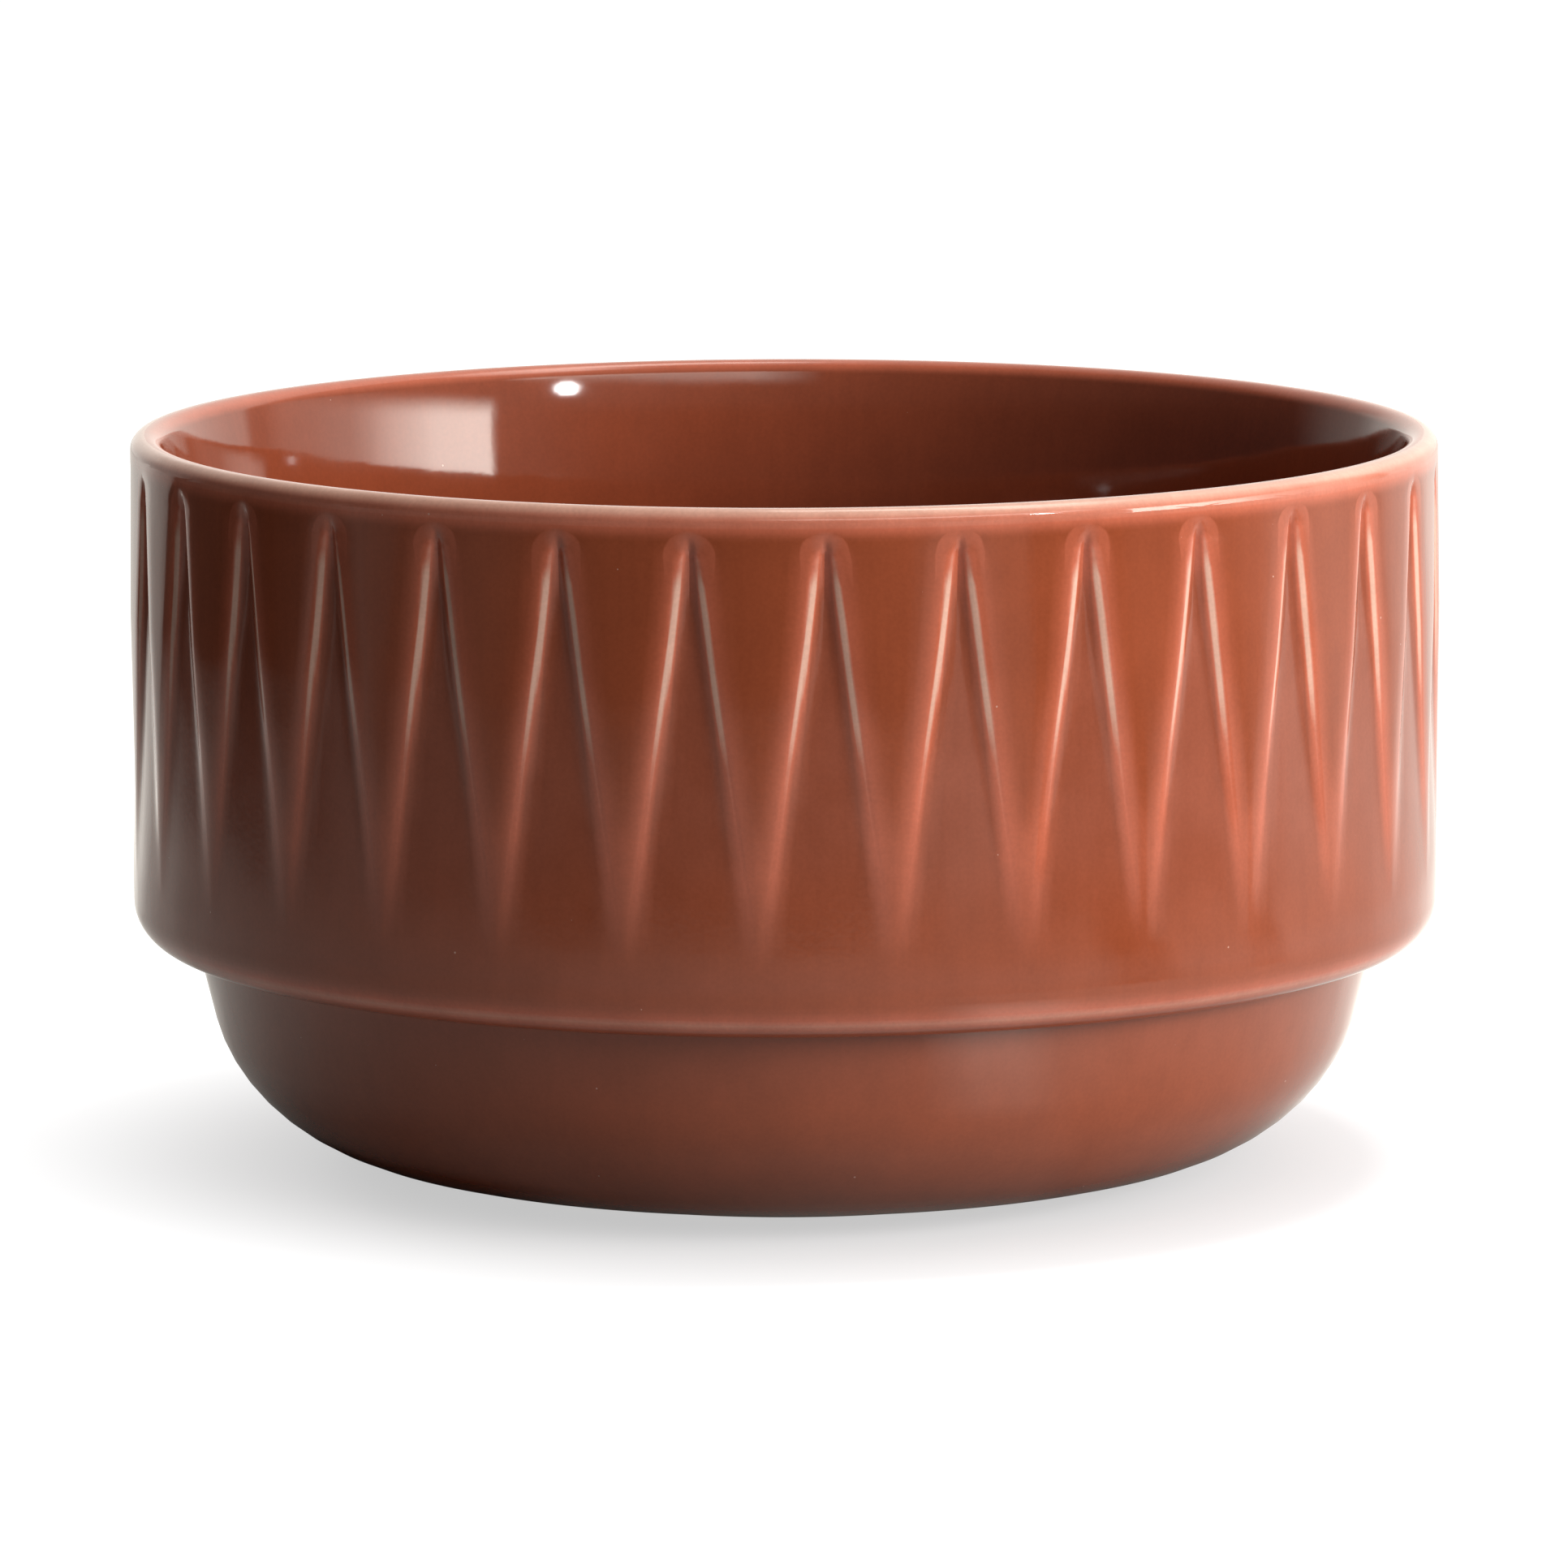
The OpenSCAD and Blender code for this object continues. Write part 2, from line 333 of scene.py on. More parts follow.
def glaze_masks(verts):
    """Thin glaze with painted highlights, and pooled glaze whose tint is partly a painted
    reflection or painted shade, 0 to 1, and the distance from the nearest dart's middle.
    """
    radius, height, angle = places(verts)
    _, share = nearest_dart(angle)
    across = share * HALF_PITCH
    on_band = (radius > BASIN_TOP_R + 4) & (height > STEP_H + 2)
    ridge = ridge_masks(across, height) * on_band
    # On the rim's crest the paler colour is partly painted light from above.
    rim = RIM_THIN * rim_step(-3.3, -1.6, height) + CREST_THIN_AND_LIT * rim_step(-1.2, -0.2, height)
    # Lip band: thin glaze with a painted highlight on the step's rounding.
    lip = np.exp(-((height - LIP_H) / LIP_W) ** 2) * (radius > BASIN_TOP_R + 2)
    thin = np.maximum(np.maximum(ridge, rim), LIP_THIN_AND_HIGHLIGHT * lip)
    dart = smooth_step(0.1, 0.7, dart_edge(across, height)) * foot_step(0, 14, height)
    dart = dart * (height < DART_TIP_H + 0.5) * on_band
    foot_line = FOOT_LINE_POOL * np.exp(-((height - FOOT_LINE_H) / FOOT_LINE_W) ** 2) * on_band
    crease = np.exp(-np.hypot(radius - BASIN_TOP_R, height - STEP_H) / CREASE_W)
    # The pooled mask lays a mauve tint, pooled glaze with a painted reflection, in the darts, on
    # the foot line and in the crease under the step.
    pooled = np.maximum(np.maximum(DART_POOL_AND_REFLECTION * dart, foot_line), crease)
    return np.clip(thin, 0, 1), np.clip(pooled, 0, 1), np.abs(across)


# Sections of the bowl, with their corners as (radius, height, rounding)

INNER_CORNERS = [
    (0, FLOOR_H, 0),
    (28, FLOOR_H, 0),
    (54.1, FLOOR_H, 14.2),
    (59.95, 30.2, 5),
    (62.95, 34, 6),
    (63.45, 61.5, 90),
    (65.4, 74.8, 28),
    (66.62, BOWL_H, 1.75),
    (CREST_R, BOWL_H, 0),
]
FOOT_CORNERS = [
    (FOOT_R, FOOT_JOIN_H + COAT, 0),
    (FOOT_R, 0, FOOT_ROUNDING),
    (FOOT_INNER_R, 0, FOOT_ROUNDING),
    (FOOT_INNER_R, RECESS_H + COAT, 0.15),
    (0, RECESS_H + COAT, 0),
]
BASE_CORNERS = [
    (0, RECESS_H + 0.03, 0),
    (16, RECESS_H + 0.02, 0),
    (FOOT_INNER_R - 0.35, RECESS_H, 0.5),
    (FOOT_INNER_R, RECESS_H - 0.3, 0),
    (FOOT_INNER_R, RECESS_H + COAT, 0),
    (0, RECESS_H + COAT, 0),
]

# Heights of the rows on the clay's side of the band
CLAY_ROWS = [77, 76, 75.2, 74.4, 73.4, 71, 60, 46, 36, 32.4, 29]


def band_heights():
    """Heights of the rows on the band, close together round the darts' tips and foot line."""
    tips = np.arange(DART_TIP_H + 2.0, DART_TIP_H - 3.01, -TIP_ROW)
    sides = np.arange(DART_TIP_H - 4.4, DART_FOOT_H + 2, -SIDE_ROW)
    foot = np.arange(DART_FOOT_H + 1.4, DART_FOOT_H - 4, -FOOT_ROW)
    return [*tips, *sides, *foot]


def band_radius(height):
    """Radius of the plain band, without its darts."""
    steps = (STEP_H, WIDEST_H, BOWL_H)
    return float(np.interp(height, steps, (BAND_FOOT_R, WIDEST_R, BAND_TOP_R)))


def outer_corners(heights):
    """Finished outside, from the crest of the rim to the side of the foot ring."""
    return [
        (CREST_R, BOWL_H, 0),
        (BAND_TOP_R, BOWL_H, RIM_ROUNDING),
        *[(band_radius(h), h, 0) for h in heights],
        (BAND_FOOT_R, STEP_H, BAND_FOOT_ROUNDING),
        (BASIN_TOP_R, STEP_H, STEP_ROUNDING),
        (*BASIN_CORNER, BASIN_ROUNDING),
        (FOOT_R, FOOT_JOIN_H, 0),
    ]


def clay_outside():
    """The clay under the outer coat, from the crest to the foot ring, without its last corner."""
    return beside(outer_corners(CLAY_ROWS), -COAT)[:-1]


def clay_inside():
    """The clay under the inner coat, from the middle of the floor to the crest."""
    under = beside(INNER_CORNERS, -COAT)
    return [(0, FLOOR_H - COAT, 0)] + under[1:-1] + [(CREST_R, BOWL_H - COAT, 0)]


# The four pieces

def make_outer_coat():
    """Outer coat: a turned shell with the darts pressed into both of its faces."""
    bm = bmesh.new()
    under = [(FOOT_R, FOOT_JOIN_H + COAT, 0)] + clay_outside()[::-1]
    coat_edge = [(FOOT_R + 0.1, FOOT_JOIN_H + 0.05, 0)]
    seen = outer_corners(band_heights())[:-1] + coat_edge
    section(bm, seen + under, OUTER_ARC, hidden_from=len(seen))
    ends = [v for v in bm.verts if len(v.link_edges) == 1]
    bm.edges.new(ends)
    turned(bm, COLUMNS)
    press_darts(bm)
    thin, pooled, from_dart = glaze_masks(bm.verts)
    obj = piece(bm, "outer_coat")
    store(obj, "thin_glaze_and_highlights", thin)
    store(obj, "pooled_glaze_and_painted_light", pooled)
    store(obj, "from_dart", from_dart)
    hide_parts("outer_glaze")
    return obj


def make_inner_coat():
    """Inner coat, from the crest of the rim over the ledge to the middle of the floor."""
    bm = bmesh.new()
    section(bm, INNER_CORNERS + clay_inside()[::-1], INNER_ARC)
    turned(bm, INNER_COLUMNS)
    radius, height, _ = places(bm.verts)
    rim = INNER_CREST_THIN * rim_step(-1.6, -0.1, height)
    # Darker at the ledge, in the floor's corner and low on the wall: pooled glaze with painted
    # shade.
    ledge = LEDGE_POOL_AND_SHADE * np.exp(-np.hypot(radius - LEDGE_R, height - LEDGE_H) / LEDGE_W)
    corner = CORNER_POOL_AND_SHADE * smooth_step(15, 8, height) * smooth_step(36, 50, radius)
    pool_and_shade = smooth_step(58, 30, height)
    obj = piece(bm, "inner_coat")
    store(obj, "thin_glaze_and_highlights", rim)
    store(obj, "pooled_glaze_and_painted_light", np.maximum(pool_and_shade, np.maximum(ledge, corner)))
    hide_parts("inner_glaze")
    return obj


def make_base_coat():
    """Coat in the recess under the bowl, drawn a little way down the foot ring's inner side."""
    bm = bmesh.new()
    section(bm, BASE_CORNERS, BASE_ARC)
    turned(bm, BASE_COLUMNS)
    radius, _, _ = places(bm.verts)
    obj = piece(bm, "base_coat")
    store(obj, "thin_glaze_and_highlights", smooth_step(FOOT_INNER_R - 0.5, FOOT_INNER_R - 0.1, radius))
    store(obj, "pooled_glaze_and_painted_light", smooth_step(FOOT_INNER_R - 4, FOOT_INNER_R - 1, radius))
    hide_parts("base_glaze")
    return obj


def make_clay_body():
    """Fired clay: wall, floor and the bare, wiped foot ring."""
    bm = bmesh.new()
    floor_middle = [(0, FLOOR_H - COAT, 0)]
    section(bm, clay_outside() + FOOT_CORNERS + floor_middle + clay_inside()[1:], CLAY_ARC)
    for edge in [e for e in bm.edges if all(v.co.x < ON_AXIS for v in e.verts)]:
        bm.edges.remove(edge)
    turned(bm, COLUMNS)
    press_darts(bm)
    obj = piece(bm, "clay_body")
    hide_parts("stoneware_body")
    return obj


# Materials

# Linear colours of the glaze: its body, and how it turns where it pools or runs thin, with painted
# highlights, reflection and shade mixed into some of them
# The outer pooled colour is a mauve tint: pooled glaze with a painted reflection in it.
OUTER_BODY, OUTER_POOL_AND_REFLECTION = (0.33, 0.070, 0.026, 1), (0.335, 0.090, 0.049, 1)
# The inner glaze is a darker, shaded copy of the outer one, and its pooled colour is painted shade
# low inside the bowl.
INNER_SHADED_BODY, INNER_POOL_AND_SHADE = (0.25, 0.053, 0.0215, 1), (0.14, 0.032, 0.015, 1)
BASE_BODY, BASE_POOLED = (0.31, 0.067, 0.027, 1), (0.23, 0.05, 0.024, 1)
# The thin colour is thin glaze with a painted highlight, strongest on the ridge cores, the rim's
# crest and the lip.
GLOW_COLOUR, THIN_AND_HIGHLIGHT_COLOUR = (0.62, 0.155, 0.083, 1), (0.80, 0.465, 0.345, 1)
SPECK_COLOUR = (0.78, 0.50, 0.39, 1)
GLAZE_IOR = 1.5
TIP_HALO = 0.3

# Linear colours of the bare clay
CLAY_DARK, CLAY_LIGHT = (0.40, 0.235, 0.145, 1), (0.53, 0.345, 0.23, 1)
SAND_COLOUR, GROG_COLOUR = (0.62, 0.45, 0.33, 1), (0.17, 0.085, 0.05, 1)

# Heights of the bumps, in metres
OUTER_WAVE, INNER_WAVE, CLAY_GRAIN = 0.00012, 0.00005, 0.00006


class Tree:
    """A node tree that is written as a chain of calls."""

    def __init__(self, tree):
        self.tree = tree

    def link(self, output, socket):
        """Links an output to a socket."""
        self.tree.links.new(output, socket)

    def add(self, kind, inputs=None, **settings):
        """A node with its settings, and its inputs linked or filled in."""
        node = self.tree.nodes.new("ShaderNode" + kind)
        for key, value in settings.items():
            setattr(node, key, value)
        for key, value in (inputs or {}).items():
            if isinstance(value, bpy.types.NodeSocket):
                self.link(value, node.inputs[key])
            else:
                node.inputs[key].default_value = value
        return node

    def place(self):
        """Place on the piece in Object coordinates."""
        return self.add("TexCoord").outputs["Object"]

    def stored(self, name):
        """A number that store() kept on the vertices."""
        return self.add("Attribute", attribute_name=name).outputs["Fac"]

    def math(self, operation, a, b=0.0, c=0.0):
        """Result of one Math node."""
        return self.add("Math", {0: a, 1: b, 2: c}, operation=operation).outputs[0]

    def ramp(self, value, low, high, to_low=0.0, to_high=1.0):
        """value mapped from one range to another and held at its ends, with soft ends."""
        return self.add("MapRange", {
            "Value": value, "From Min": low, "From Max": high, "To Min": to_low, "To Max": to_high,
        }, interpolation_type="SMOOTHSTEP").outputs["Result"]

    def mix(self, factor, a, b, blend="MIX"):
        """Two colours mixed."""
        inputs = {0: factor, 6: a, 7: b}
        return self.add("Mix", inputs, data_type="RGBA", blend_type=blend).outputs[2]

    def noise(self, place, scale, detail):
        """Noise at a scale in cycles per metre."""
        inputs = {"Vector": place, "Scale": scale, "Detail": detail}
        return self.add("TexNoise", inputs).outputs["Fac"]

    def stretched(self, place, scale):
        """The place scaled by a different number along each axis."""
        return self.add("VectorMath", {0: place, 1: scale}, operation="MULTIPLY").outputs[0]

    def spots(self, place, scale, channel, rarity, size):
        """1 on round spots up to size cells wide, in the share of cells that rarity leaves."""
        cells = self.add("TexVoronoi", {"Vector": place, "Scale": scale})
        chosen = self.add("SeparateColor", {0: cells.outputs["Color"]}).outputs[channel]
        return self.math("LESS_THAN", cells.outputs["Distance"],
                         self.ramp(chosen, rarity, 1.0, 0.0, size))

    def bump(self, height, distance):
        """Normal from a height mask and the depth that it stands for."""
        inputs = {"Height": height, "Strength": 1.0, "Distance": distance}
        return self.add("Bump", inputs).outputs["Normal"]

    def seen(self):
        """1 on rays from the camera, a reflection or a clear material, and 0 on the others."""
        path = self.add("LightPath").outputs
        seen = self.math("MAXIMUM", path["Is Camera Ray"], path["Is Glossy Ray"])
        return self.math("MAXIMUM", seen, path["Is Transmission Ray"])


def new_group(name, inputs, outputs):
    """A new shader node group with named sockets; gives its Tree, its inputs and its outputs."""
    group = bpy.data.node_groups.new(name, "ShaderNodeTree")
    for direction, sockets in (("INPUT", inputs), ("OUTPUT", outputs)):
        for label, kind in sockets.items():
            group.interface.new_socket(
                name=label, in_out=direction, socket_type="NodeSocket" + kind)
    start = group.nodes.new("NodeGroupInput")
    end = group.nodes.new("NodeGroupOutput")
    return Tree(group), start.outputs, end.inputs


def glaze_colour_group():
    """Colour of the glaze: it breaks to peach where thin and on painted highlights, and turns
    mauve-brown where it pools and where reflection and shade are painted.
    """
    tree, given, result = new_group(
        "glaze_colour",
        {"Place": "Vector", "Thin": "Float", "Pooled": "Float", "Body": "Color",
         "Glow Colour": "Color", "Thin And Highlight Colour": "Color", "Pooled And Painted Light Colour": "Color",
         "Speck Colour": "Color"},
        {"Colour": "Color"},
    )
    place = given["Place"]
    cloud = tree.noise(place, 150, 3)
    grain = tree.noise(place, 2600, 2)
    streak = tree.noise(tree.stretched(place, (1, 1, 0.09)), 900, 3)
    ragged = tree.math("MULTIPLY_ADD", tree.math("SUBTRACT", cloud, 0.5), 0.12, 1.0)
    thin = tree.math("MULTIPLY", given["Thin"], ragged)
    pooled = tree.math("MULTIPLY", given["Pooled"], tree.ramp(cloud, 0.3, 0.6, 0.75, 1.0))
    colour = tree.mix(pooled, given["Body"], given["Pooled And Painted Light Colour"])
    colour = tree.mix(tree.math("MULTIPLY", thin, 1.7), colour, given["Glow Colour"])
    colour = tree.mix(tree.ramp(thin, 0.5, 1.0), colour, given["Thin And Highlight Colour"])
    streaks = tree.ramp(streak, 0.3, 0.7, 0.975, 1.02)
    uneven = tree.math("ADD", streaks, tree.ramp(grain, 0.2, 0.8, -0.05, 0.05))
    uneven = tree.math("MULTIPLY", uneven, tree.ramp(cloud, 0.25, 0.75, 0.95, 1.05))
    shade = tree.add("CombineColor", {0: uneven, 1: uneven, 2: uneven}).outputs[0]
    colour = tree.mix(1.0, colour, shade, "MULTIPLY")
    speck = tree.spots(place, 420, 0, 0.72, 0.05)
    colour = tree.mix(tree.math("MULTIPLY", speck, 0.6), colour, given["Speck Colour"])
    tree.link(colour, result["Colour"])
    return tree.tree


def glaze_skin_group():
    """Skin of the glaze: slow waves, a faint orange peel, pinholes and changes of gloss."""
    tree, given, result = new_group(
        "glaze_skin",
        {"Place": "Vector", "Pooled": "Float"},
        {"Height": "Float", "Roughness": "Float"},
    )
    place = given["Place"]
    waves = tree.noise(tree.stretched(place, (1, 1, 0.6)), 95, 1.5)
    peel = tree.noise(place, 1300, 1)
    pinhole = tree.spots(place, 210, 1, 0.86, 0.05)
    height = tree.math("MULTIPLY_ADD", peel, 0.035, waves)
    height = tree.math("MULTIPLY_ADD", pinhole, -0.35, height)
    tree.link(height, result["Height"])
    gloss = tree.ramp(tree.noise(place, 60, 2), 0.3, 0.7, 0.05, 0.09)
    gloss = tree.math("MULTIPLY_ADD", given["Pooled"], 0.03, gloss)
    tree.link(gloss, result["Roughness"])
    return tree.tree


def tip_halo_group():
    """Thinner glaze on the dish round each dart's tip, with a clear and slightly ragged edge."""
    tree, given, result = new_group(
        "tip_halo", {"Place": "Vector", "From Dart": "Float"}, {"Halo": "Float"})
    height = tree.add("SeparateXYZ", {0: given["Place"]}).outputs["Z"]
    height = tree.math("DIVIDE", height, MM)
    rise = tree.math("DIVIDE", tree.math("SUBTRACT", height, DISH_H), DISH_RISE)
    rise = tree.math("MAXIMUM", rise, 0.0)
    side = tree.math("DIVIDE", given["From Dart"], 0.9 * DISH_W)
    squares = tree.math("ADD", tree.math("POWER", rise, 2.0), tree.math("POWER", side, 2.0))
    noise = tree.noise(given["Place"], 240, 2)
    ragged = tree.math("MULTIPLY_ADD", noise, 0.3, tree.math("SQRT", squares))
    on_dish = tree.ramp(height, DISH_H - 6, DISH_H - 1)
    tree.link(tree.math("MULTIPLY", tree.ramp(ragged, 1.2, 1.07), on_dish), result["Halo"])
    return tree.tree


def new_material(name):
    """A material with an empty Principled shader; gives the material, its Tree and the shader."""
    material = bpy.data.materials.new(name)
    material.use_nodes = True
    nodes = material.node_tree.nodes
    return material, Tree(material.node_tree), nodes["Principled BSDF"]


def glaze_material(name, body, pool_and_painted_light_colour, groups, wave_height, halo_strength=0.0):
    """Glossy fired glaze over clay, with the shared colour and skin groups."""
    material, tree, shader = new_material(name)
    place, thin, pooled = tree.place(), tree.stored("thin_glaze_and_highlights"), tree.stored("pooled_glaze_and_painted_light")
    if halo_strength:
        inputs = {"Place": place, "From Dart": tree.stored("from_dart")}
        halo = tree.add("Group", inputs, node_tree=groups["halo"]).outputs["Halo"]
        thin = tree.math("MAXIMUM", thin, tree.math("MULTIPLY", halo, halo_strength))
    colour = tree.add("Group", {
        "Place": place, "Thin": thin, "Pooled": pooled, "Body": body, "Glow Colour": GLOW_COLOUR,
        "Thin And Highlight Colour": THIN_AND_HIGHLIGHT_COLOUR, "Pooled And Painted Light Colour": pool_and_painted_light_colour, "Speck Colour": SPECK_COLOUR,
    }, node_tree=groups["colour"])
    skin = tree.add("Group", {"Place": place, "Pooled": pooled}, node_tree=groups["skin"])
    tree.link(colour.outputs["Colour"], shader.inputs["Base Color"])
    tree.link(skin.outputs["Roughness"], shader.inputs["Roughness"])
    tree.link(tree.bump(skin.outputs["Height"], wave_height), shader.inputs["Normal"])
    shader.inputs["IOR"].default_value = GLAZE_IOR
    return material


def clay_material():
    """Bare fired stoneware of the foot ring: matt, sandy, with dark grog and wiping lines."""
    material, tree, shader = new_material("bare_clay")
    place = tree.place()
    cloud = tree.noise(place, 220, 4)
    sand = tree.noise(place, 3800, 3)
    rings = tree.noise(tree.stretched(place, (0.12, 0.12, 1)), 2600, 2)
    grog = tree.spots(place, 1100, 0, 0.7, 0.28)
    colour = tree.mix(tree.ramp(cloud, 0.3, 0.7), CLAY_DARK, CLAY_LIGHT)
    colour = tree.mix(tree.ramp(sand, 0.55, 0.75, 0.0, 0.5), colour, SAND_COLOUR)
    colour = tree.mix(tree.math("MULTIPLY", grog, 0.7), colour, GROG_COLOUR)
    height = tree.math("MULTIPLY_ADD", rings, 0.6, sand)
    tree.link(colour, shader.inputs["Base Color"])
    tree.link(tree.bump(height, CLAY_GRAIN), shader.inputs["Normal"])
    tree.link(tree.ramp(cloud, 0.3, 0.7, 0.78, 0.92), shader.inputs["Roughness"])
    return material


# Studio: floor, glowing cards that only reflections see as painted reflections, lamps, background
# and camera

WHITE = (1, 1, 1, 1)
FLOOR_R, FLOOR_GREY = 4.0, (0.35, 0.35, 0.35, 1)
FLOOR_ROUGHNESS, FLOOR_SPECULAR = 0.9, 0.1
FLOOR_PAINTED_SHADOW, SHADE_R, WHITE_R = 0.55, 0.04, 0.095
# Warm tint of the glowing cards' painted reflections.
CARD_COLOUR = (1, 0.955, 0.88, 1)
FILL_LIGHT = 0.012
LAMP_TARGET = Vector((0, 0, 0.05))

# Distances of the painted table reflection's rings, and the painted room reflection's wall and
# dome as (distance, height)
TABLE_RINGS = (0.038, 0.05, 0.06, 0.07, 0.085, 0.1, 0.13, 0.17, 0.19, 0.21, 0.23, 0.25, 0.27, 0.29,
               0.32, 0.36, 0.4, 0.45, 0.5, 0.7, 1.3)
TABLE_CARD_H = 0.001
WALL_HEIGHTS = (0.001, 0.2, 0.38, 0.41, 0.44, 0.47, 0.5, 0.53, 0.56, 0.66, 0.7, 0.74, 0.78)
ROOM_R = 1.3
DOME = ((1.27, 0.88), (1.24, 0.92), (1.22, 0.98), (1.16, 1.06), (0.95, 1.22), (0.85, 1.26),
        (0.8, 1.28), (0.5, 1.37), (0.3, 1.40), (0.26, 1.412), (0.002, 1.42))

# Brightness of the painted table reflection as (azimuth, value), from the bowl's foot outwards
TABLE_NEAR = ((-180, 1.1), (-145, 1.0), (-135, 0.6), (-112, 0.5), (-52, 0.45), (-22, 0.55),
              (7, 0.7), (20, 0.85), (32, 1.1), (77, 1.05), (106, 1.15), (132, 1.5), (180, 1.4))
TABLE_MIDDLE = ((-180, 1.2), (-145, 1.3), (-135, 0.7), (-112, 0.45), (-37, 0.45), (7, 0.72),
                (30, 0.72), (48, 0.65), (52, 0.1), (58, 0.1), (62, 0.8), (74, 0.9), (77, 0.5),
                (82, 0.5), (86, 1.15), (106, 1.0), (132, 1.3), (180, 1.2))
TABLE_FAR = ((-180, 0.8), (-155, 0.9), (-146, 1.15), (-139, 0.7), (-130, 0.4), (-128, 0.05),
             (-97, 0.03), (-84, 0.1), (-75, 0.35), (-66, 0.15), (-52, 0.2), (-37, 0.08),
             (-7, 0.05), (20, 0.12), (26, 0.6), (31, 0.64), (40, 0.44), (42, 0.08), (55, 0.05),
             (60, 0.2), (78, 0.27), (86, 0.6), (92, 1.2), (106, 1.15), (118, 0.75), (132, 1.2),
             (150, 1.4), (180, 0.7))
TABLE_SHADE = ((-180, 0.3), (-125, 0.3), (-112, 0.3), (-97, 0.4), (-67, 0.35), (-52, 0.4),
               (-22, 0.5), (7, 0.82), (20, 0.7), (38, 0.4), (66, 0.5), (95, 0.8), (180, 0.9))

# Where the painted dark contact zone round the foot ends, and where the painted table has a bright
# patch
CONTACT_END = ((-180, 0.043), (-75, 0.051), (-50, 0.051), (-28, 0.045), (0, 0.043), (180, 0.043))
CONTACT_FADE, CONTACT_DARK = 0.018, 0.03
TABLE_GLARE = ((-180, 0), (17, 0), (25, 1), (31, 1), (37, 0.3), (48, 0), (180, 0))

# Brightness of the painted room reflection as (azimuth, value): lower wall with the window, and
# upper wall
ROOM_LOW = ((-180, 1.25), (-160, 1.15), (-150, 1.0), (-142, 0.6), (-130, 0.45), (-121, 0.15),
            (-118, 0.07), (35, 0.08), (45, 0.22), (52, 0.38), (59.8, 0.42), (60.7, 14),
            (66, 13.6), (74, 12.4), (80, 9), (85, 6.6), (90, 4), (95, 2.4), (105, 1.5),
            (115, 0.95), (121, 0.4), (125.5, 0.4), (128.5, 1.5), (150, 1.5), (180, 1.25))
ROOM_HIGH = ((-180, 1.2), (-160, 0.8), (-140, 0.5), (-120, 0.12), (-30, 0.12), (0, 0.2),
             (60, 0.5), (120, 0.5), (128, 1.4), (150, 1.35), (180, 1.2))

# Distances in metres over which the painted shade on the table reflection ends, its painted bright
# patch starts and ends, and the middle and far values take over
SHADE_ENDS = (0.055, 0.105)
GLARE_STARTS, GLARE_ENDS = (0.068, 0.078), (0.125, 0.095)
MIDDLE_STARTS, FAR_STARTS = (0.17, 0.25), (0.28, 0.46)

# Heights in metres over which the upper wall, the ceiling patch and the back strip start and end
UPPER_STARTS = (0.38, 0.56)
CEILING_STARTS, CEILING_ENDS = (0.66, 0.76), (0.97, 0.88)
BACK_STARTS, BACK_ENDS = (1.27, 1.33), (1.405, 1.38)

# Reach of the ceiling patch at the front and of the strip high at the back
CEILING_REACH, CEILING_LIGHT = ((-180, 0), (-8, 0), (6, 1), (52, 1), (60, 0), (180, 0)), 4.0
BACK_REACH, BACK_LIGHT = ((-180, 0.8), (-172, 0), (60, 0), (90, 1), (170, 1), (180, 0.8)), 5.5

# Lamps as name: (azimuth, elevation, distance, (width, height), radiance)
LAMPS = {
    "window_light": (71, 14, 1.0, (0.5, 0.3), 15.2),
    "side_softbox": (50, 15, 1.0, (0.4, 0.35), 1.8),
    "front_softbox": (38, 22, 1.0, (0.5, 0.5), 4.8),
    "back_softbox": (-140, 25, 1.2, (0.5, 0.5), 4.2),
    "wall_light": (120, 16, 1.2, (0.6, 0.4), 2.2),
    "top_light": (100, 76, 1.0, (0.2, 0.2), 37),
    "small_lamp": (45.9, 24.7, 0.9, (0.07, 0.07), 60),
}
MIRRORED_LAMP = "small_lamp"


def direction(azimuth, elevation=0.0):
    """Unit vector from the bowl; azimuth runs from the camera's side towards +X, in degrees."""
    a, e = math.radians(azimuth), math.radians(elevation)
    return Vector((math.sin(a) * math.cos(e), -math.cos(a) * math.cos(e), math.sin(e)))


def stage_object(name, bm, material):
    """A part of the studio with its material."""
    obj = new_object(name, bm)
    obj.data.materials.append(material)
    return obj


def make_floor():
    """A wide pale floor whose white glow is dimmer near the bowl, a painted contact shadow over
    the real shadow that it keeps.
    """
    bm = bmesh.new()
    bmesh.ops.create_circle(bm, cap_ends=True, segments=96, radius=FLOOR_R)
    material, tree, shader = new_material("pale_floor")
    shader.inputs["Base Color"].default_value = FLOOR_GREY
    shader.inputs["Roughness"].default_value = FLOOR_ROUGHNESS
    shader.inputs["Specular IOR Level"].default_value = FLOOR_SPECULAR
    shader.inputs["Emission Color"].default_value = WHITE
    seen = tree.seen()
    far = tree.add("VectorMath", {0: tree.place()}, operation="LENGTH").outputs["Value"]
    # The glow is weaker near the bowl: a painted contact shadow.
    white = tree.math("MULTIPLY", seen, tree.ramp(far, SHADE_R, WHITE_R, FLOOR_PAINTED_SHADOW, 1.0))
    tree.link(white, shader.inputs["Emission Strength"])
    material.cycles.emission_sampling = "NONE"
    stage_object("floor", bm, material)


def spun_profile(profile):
    """A profile of (distance, height) spun through a full turn, in steps of one degree."""
    bm = bmesh.new()
    spine = [bm.verts.new(direction(-180) * d + UP * h) for d, h in profile]
    for a, b in zip(spine, spine[1:]):
        bm.edges.new((a, b))
    bmesh.ops.spin(
        bm, geom=bm.verts[:] + bm.edges[:], cent=(0, 0, 0), axis=(0, 0, 1), angle=math.tau,
        steps=360, use_merge=True, use_duplicate=False,
    )
    return bm


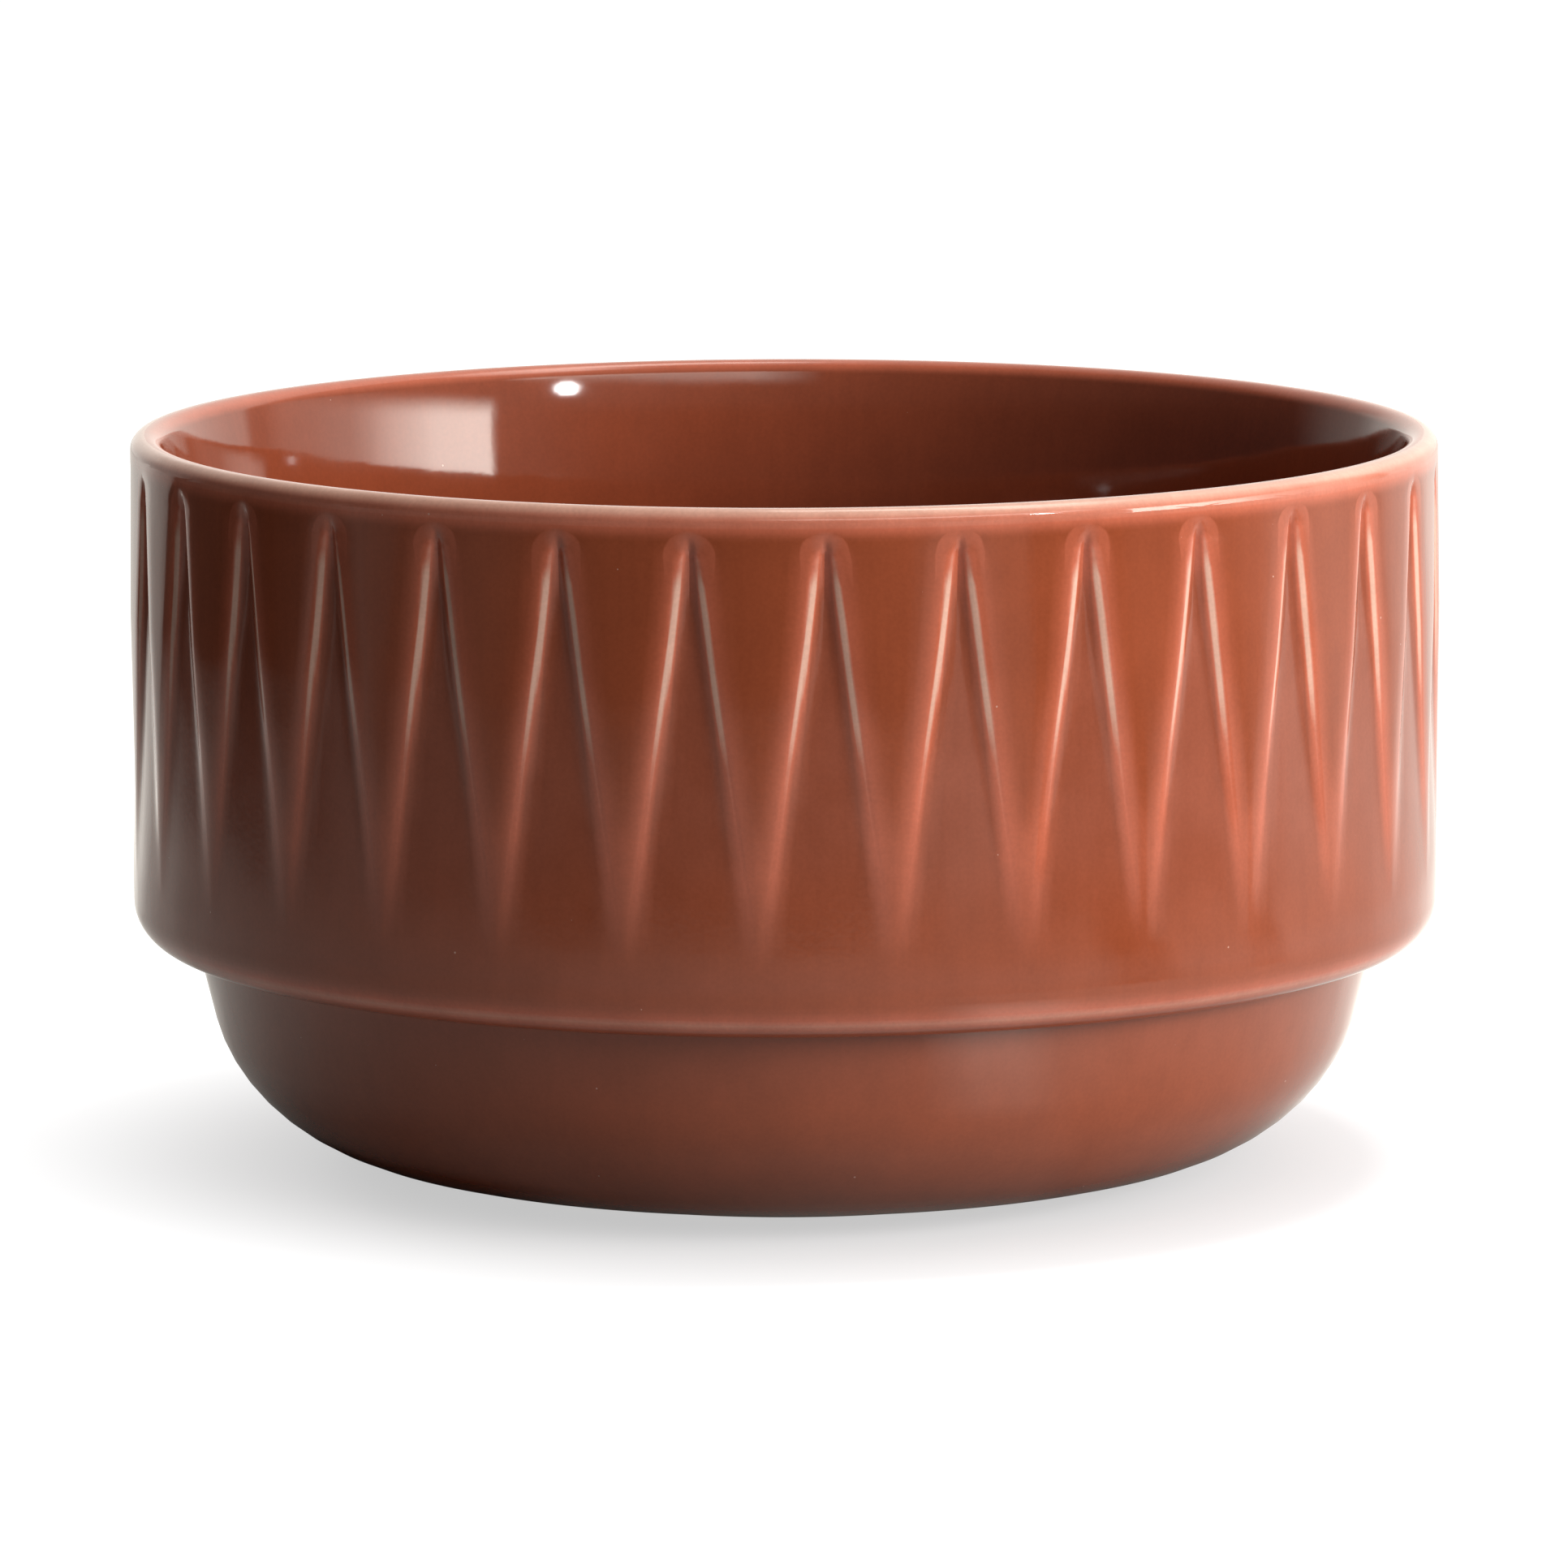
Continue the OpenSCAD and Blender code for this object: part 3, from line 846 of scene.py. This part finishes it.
def make_card(name, profile, brightness):
    """A glowing card that only reflections see, a painted reflection, with a brightness worked out
    at each of its corners.
    """
    bm = spun_profile(profile)
    corners = np.array([v.co for v in bm.verts])
    azimuth = np.degrees(np.arctan2(corners[:, 0], -corners[:, 1]))
    away = np.hypot(corners[:, 0], corners[:, 1])
    material, tree, shader = new_material(name)
    tree.tree.nodes.remove(shader)
    glow = tree.stored("brightness")
    emission = tree.add("Emission", {"Color": CARD_COLOUR, "Strength": glow})
    tree.link(emission.outputs[0], tree.tree.nodes["Material Output"].inputs["Surface"])
    material.cycles.emission_sampling = "NONE"
    card = stage_object(name, bm, material)
    store(card, "brightness", brightness(azimuth, away, corners[:, 2]))
    card.visible_camera = card.visible_diffuse = False
    card.visible_volume_scatter = card.visible_shadow = False


def by_azimuth(azimuth, stops):
    """Value at an azimuth between stops of (azimuth, value)."""
    return np.interp(azimuth, [a for a, _ in stops], [v for _, v in stops])


def table_brightness(azimuth, away, _height):
    """Painted reflection of a pale table: painted shade near the bowl with one painted bright
    patch, and dim far off at the front.
    """
    near = by_azimuth(azimuth, TABLE_NEAR)
    middle = by_azimuth(azimuth, TABLE_MIDDLE)
    far = by_azimuth(azimuth, TABLE_FAR)
    shade = by_azimuth(azimuth, TABLE_SHADE)
    near = near * (shade + (1 - shade) * smooth_step(*SHADE_ENDS, away))
    past_contact = smooth_step(0, CONTACT_FADE, away - by_azimuth(azimuth, CONTACT_END))
    near = near * (CONTACT_DARK + (1 - CONTACT_DARK) * past_contact)
    glare = by_azimuth(azimuth, TABLE_GLARE)
    near = near + glare * smooth_step(*GLARE_STARTS, away) * smooth_step(*GLARE_ENDS, away)
    near = near + (middle - near) * smooth_step(*MIDDLE_STARTS, away)
    return near + (far - near) * smooth_step(*FAR_STARTS, away)


def room_brightness(azimuth, _away, height):
    """Painted reflection of a dim room in front, a window at the right, pale walls behind and
    bright ceiling patches.
    """
    low = by_azimuth(azimuth, ROOM_LOW)
    high = by_azimuth(azimuth, ROOM_HIGH)
    light = low + (high - low) * smooth_step(*UPPER_STARTS, height)
    ceiling = by_azimuth(azimuth, CEILING_REACH)
    ceiling = ceiling * smooth_step(*CEILING_STARTS, height) * smooth_step(*CEILING_ENDS, height)
    back = by_azimuth(azimuth, BACK_REACH)
    back = back * smooth_step(*BACK_STARTS, height) * smooth_step(*BACK_ENDS, height)
    return light + (CEILING_LIGHT - light) * ceiling + BACK_LIGHT * back


def make_lamp(name, azimuth, elevation, distance, size, radiance):
    """A flat lamp that faces the bowl, with its size and its brightness as seen from there.

    The small round lamp shows only in reflections. The others only light the surfaces."""
    mirrored = name == MIRRORED_LAMP
    light = bpy.data.lights.new(name, "AREA")
    light.shape = "ELLIPSE" if mirrored else "RECTANGLE"
    light.size, light.size_y = size
    area = size[0] * size[1] * (math.pi / 4 if mirrored else 1)
    light.energy = radiance * math.pi * area
    lamp = bpy.data.objects.new(name, light)
    bpy.context.scene.collection.objects.link(lamp)
    lamp.location = LAMP_TARGET + direction(azimuth, elevation) * distance
    lamp.rotation_euler = (LAMP_TARGET - lamp.location).to_track_quat("-Z", "Y").to_euler()
    lamp.visible_camera = False
    lamp.visible_glossy = mirrored
    lamp.visible_diffuse = not mirrored


def make_world():
    """White for what the camera and reflections see, and a weak even fill for the rest."""
    world = bpy.data.worlds.new("studio")
    bpy.context.scene.world = world
    world.use_nodes = True
    tree = Tree(world.node_tree)
    background = world.node_tree.nodes["Background"]
    background.inputs["Color"].default_value = WHITE
    tree.link(tree.ramp(tree.seen(), 0, 1, FILL_LIGHT, 1.0), background.inputs["Strength"])


def make_camera():
    """The photograph's camera."""
    camera = bpy.data.cameras.new("camera")
    camera.lens = CAMERA_LENS
    camera.sensor_width = SENSOR_W
    camera.clip_start, camera.clip_end = CLIP_NEAR, CLIP_FAR
    obj = bpy.data.objects.new("camera", camera)
    bpy.context.scene.collection.objects.link(obj)
    level = Matrix.Rotation(math.pi / 2 - CAMERA_PITCH, 4, "X")
    roll = Matrix.Rotation(CAMERA_ROLL, 4, "Z")
    obj.matrix_world = Matrix.Translation(CAMERA_AT) @ level @ roll
    bpy.context.scene.camera = obj


def build_bowl():
    """The bowl's pieces, each with its material."""
    groups = {
        "colour": glaze_colour_group(), "skin": glaze_skin_group(), "halo": tip_halo_group(),
    }
    outer = glaze_material(
        "terracotta_glaze", OUTER_BODY, OUTER_POOL_AND_REFLECTION, groups, OUTER_WAVE, TIP_HALO)
    inner = glaze_material(
        "inner_terracotta_glaze", INNER_SHADED_BODY, INNER_POOL_AND_SHADE, groups, INNER_WAVE)
    base = glaze_material("base_terracotta_glaze", BASE_BODY, BASE_POOLED, groups, OUTER_WAVE)
    for obj, material in (
        (make_outer_coat(), outer),
        (make_inner_coat(), inner),
        (make_base_coat(), base),
        (make_clay_body(), clay_material()),
    ):
        obj.data.materials.append(material)


def build_studio():
    """Everything round the bowl."""
    make_floor()
    make_card("painted_table_reflection", [(r, TABLE_CARD_H) for r in TABLE_RINGS], table_brightness)
    make_card("painted_room_reflection", [*((ROOM_R, h) for h in WALL_HEIGHTS), *DOME], room_brightness)
    for name, settings in LAMPS.items():
        make_lamp(name, *settings)
    make_world()


build_bowl()
build_studio()
make_camera()
bpy.context.scene.view_settings.view_transform = "Standard"
